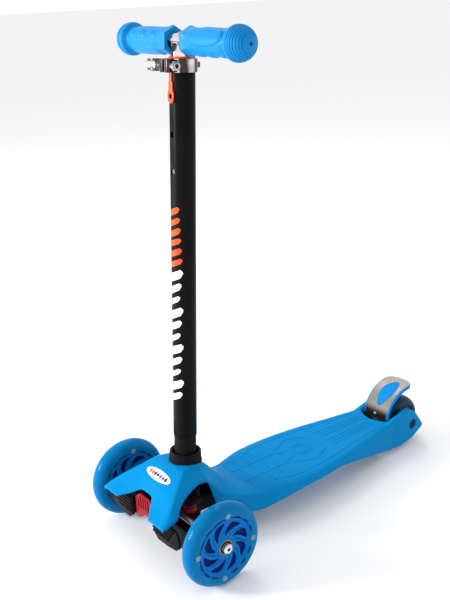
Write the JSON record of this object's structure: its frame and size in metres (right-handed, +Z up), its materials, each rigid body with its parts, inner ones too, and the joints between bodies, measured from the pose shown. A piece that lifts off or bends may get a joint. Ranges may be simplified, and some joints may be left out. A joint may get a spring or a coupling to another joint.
{
  "type": "kick scooter",
  "caption": "Child's lean-to-steer kick scooter: wide moulded deck, paired front wheels, small rear wheel with foot brake, lift-out column and sliding T-bar with quick release.",
  "frame": {"origin": "on the floor, under the middle of the whole scooter's box", "axes": "+Z up, -Y forward along the direction of travel, +X to the rider's left"},
  "size_m": [0.266, 0.5785, 0.7176],
  "materials": {
    "deck_plastic": "bright blue moulded plastic, satin gloss",
    "badge": null,
    "black_plastic": "black moulded plastic",
    "black_tube": "satin black powder coat",
    "orange_plastic": "orange plastic",
    "red_plastic": "red moulded plastic",
    "red_rubber": "red elastomer",
    "zinc_steel": "zinc-plated steel",
    "brushed_plate": "brushed steel tread plate",
    "polished": "polished aluminium",
    "chrome": "chromed tube",
    "spring_steel": "spring steel",
    "bearing_steel": "ground bearing steel",
    "front_tyre": "translucent blue urethane",
    "front_core": "deep blue moulded core",
    "rear_tyre": "translucent dark blue urethane",
    "light": "clear light module",
    "grip_rubber": "soft blue grip rubber",
    "brake_blue": "blue moulded plastic"
  },
  "bodies": {
    "deck": {"deck": "deck_plastic", "badge": "badge", "steering_chassis": "black_plastic", "column_socket": "black_plastic", "front_skirt": "black_plastic", "pedal_pin": "zinc_steel", "pedal_spring": "spring_steel", "lean_pivot_bolt": "zinc_steel", "drive_pin": "zinc_steel", "deck_screws": "zinc_steel", "brake_hinge_pin": "zinc_steel", "brake_spring": "spring_steel", "rear_axle": "zinc_steel", "rear_axle_nut": "zinc_steel", "rear_spacers": "zinc_steel"},
    "front_axle": {"front_beam": "black_plastic", "lean_elastomer_left": "red_rubber", "lean_elastomer_right": "red_rubber"},
    "tie_rod": {"tie_rod": "zinc_steel"},
    "brake": {"brake_plate": "brushed_plate", "brake_arm": "brake_blue", "brake_pad": "brake_blue", "brake_rivet": "zinc_steel"},
    "release_pedal": {"release_pedal": "red_plastic"},
    "rear_wheel": {"rear_wheel_tyre": "rear_tyre", "rear_wheel_core": "rear_tyre", "rear_wheel_bearings": "bearing_steel"},
    "column": {"column_tube": "black_tube", "column_foot": "black_plastic", "clamp_collar": "polished", "clamp_bolt": "zinc_steel", "clamp_nut": "zinc_steel", "clamp_spacer": "black_plastic", "cam_seat": "polished", "cam_pin": "zinc_steel", "guide_sleeve": "orange_plastic"},
    "quick_release_lever": {"quick_release_lever": "polished"},
    "t_bar": {"handlebar": "chrome", "grip_left": "grip_rubber", "grip_right": "grip_rubber", "button_spring": "spring_steel"},
    "height_button": {"height_button": "zinc_steel"},
    "knuckle_left": {"knuckle_left": "black_plastic", "king_pin_left": "zinc_steel", "steering_arm_left": "zinc_steel", "axle_bolt_left": "zinc_steel", "axle_spacer_left": "zinc_steel"},
    "wheel_left": {"wheel_left_tyre": "front_tyre", "wheel_left_core": "front_core", "wheel_left_bearings": "bearing_steel", "wheel_left_lights": "light"},
    "knuckle_right": {"knuckle_right": "black_plastic", "king_pin_right": "zinc_steel", "steering_arm_right": "zinc_steel", "axle_bolt_right": "zinc_steel", "axle_spacer_right": "zinc_steel"},
    "wheel_right": {"wheel_right_tyre": "front_tyre", "wheel_right_core": "front_core", "wheel_right_bearings": "bearing_steel", "wheel_right_lights": "light"}
  },
  "joints": [
    {"name": "lean", "type": "hinge", "parent": "deck", "child": "front_axle", "pos_m": [0, -0.2245, 0.06], "axis": [0, 1, 0], "range_deg": [-8, 8], "stiffness_Nm_per_rad": 80, "deforming": ["lean_elastomer_left", "lean_elastomer_right"]},
    {"name": "tie_rod_slide", "type": "slide", "parent": "front_axle", "child": "tie_rod", "axis": [1, 0, 0], "range_m": [-0.0031, 0.0031]},
    {"name": "rear_wheel_spin", "type": "hinge", "parent": "deck", "child": "rear_wheel", "pos_m": [0, 0.2495, 0.04], "axis": [1, 0, 0], "continuous": true},
    {"name": "brake_press", "type": "hinge", "parent": "deck", "child": "brake", "pos_m": [0, 0.2005, 0.051], "axis": [-1, 0, 0], "range_deg": [0, 17], "stiffness_Nm_per_rad": 3},
    {"name": "pedal_press", "type": "hinge", "parent": "deck", "child": "release_pedal", "pos_m": [0, -0.2625, 0.066], "axis": [-1, 0, 0], "range_deg": [0, 7], "stiffness_Nm_per_rad": 1, "deforming": ["pedal_spring"]},
    {"name": "column_lift", "type": "slide", "parent": "deck", "child": "column", "axis": [0, 0.0558, 0.9984], "range_m": [0, 0.07]},
    {"name": "bar_height", "type": "slide", "parent": "column", "child": "t_bar", "axis": [0, 0.0558, 0.9984], "range_m": [0, 0.0932]},
    {"name": "quick_release", "type": "hinge", "parent": "column", "child": "quick_release_lever", "pos_m": [-0.026, -0.18768, 0.66914], "axis": [0, 0.0558, 0.9984], "range_deg": [0, 110]},
    {"name": "height_button_press", "type": "slide", "parent": "t_bar", "child": "height_button", "axis": [0, -0.9984, 0.0558], "range_m": [0, 0.0023], "stiffness_N_per_m": 400, "springref_m": 0.0023},
    {"name": "steer_left", "type": "hinge", "parent": "front_axle", "child": "knuckle_left", "pos_m": [0.084, -0.2245, 0.06], "axis": [0, 0, 1], "range_deg": [-9.7, 9.7]},
    {"name": "wheel_left_spin", "type": "hinge", "parent": "knuckle_left", "child": "wheel_left", "pos_m": [0.115, -0.2245, 0.06], "axis": [1, 0, 0], "continuous": true},
    {"name": "steer_right", "type": "hinge", "parent": "front_axle", "child": "knuckle_right", "pos_m": [-0.084, -0.2245, 0.06], "axis": [0, 0, 1], "range_deg": [-9.7, 9.7]},
    {"name": "wheel_right_spin", "type": "hinge", "parent": "knuckle_right", "child": "wheel_right", "pos_m": [-0.115, -0.2245, 0.06], "axis": [1, 0, 0], "continuous": true}
  ],
  "couplings": [
    {"joint": "steer_left", "follows": "lean", "ratio": -1.2},
    {"joint": "steer_right", "follows": "lean", "ratio": -1.2},
    {"joint": "tie_rod_slide", "follows": "lean", "m_per_rad": -0.0216}
  ]
}
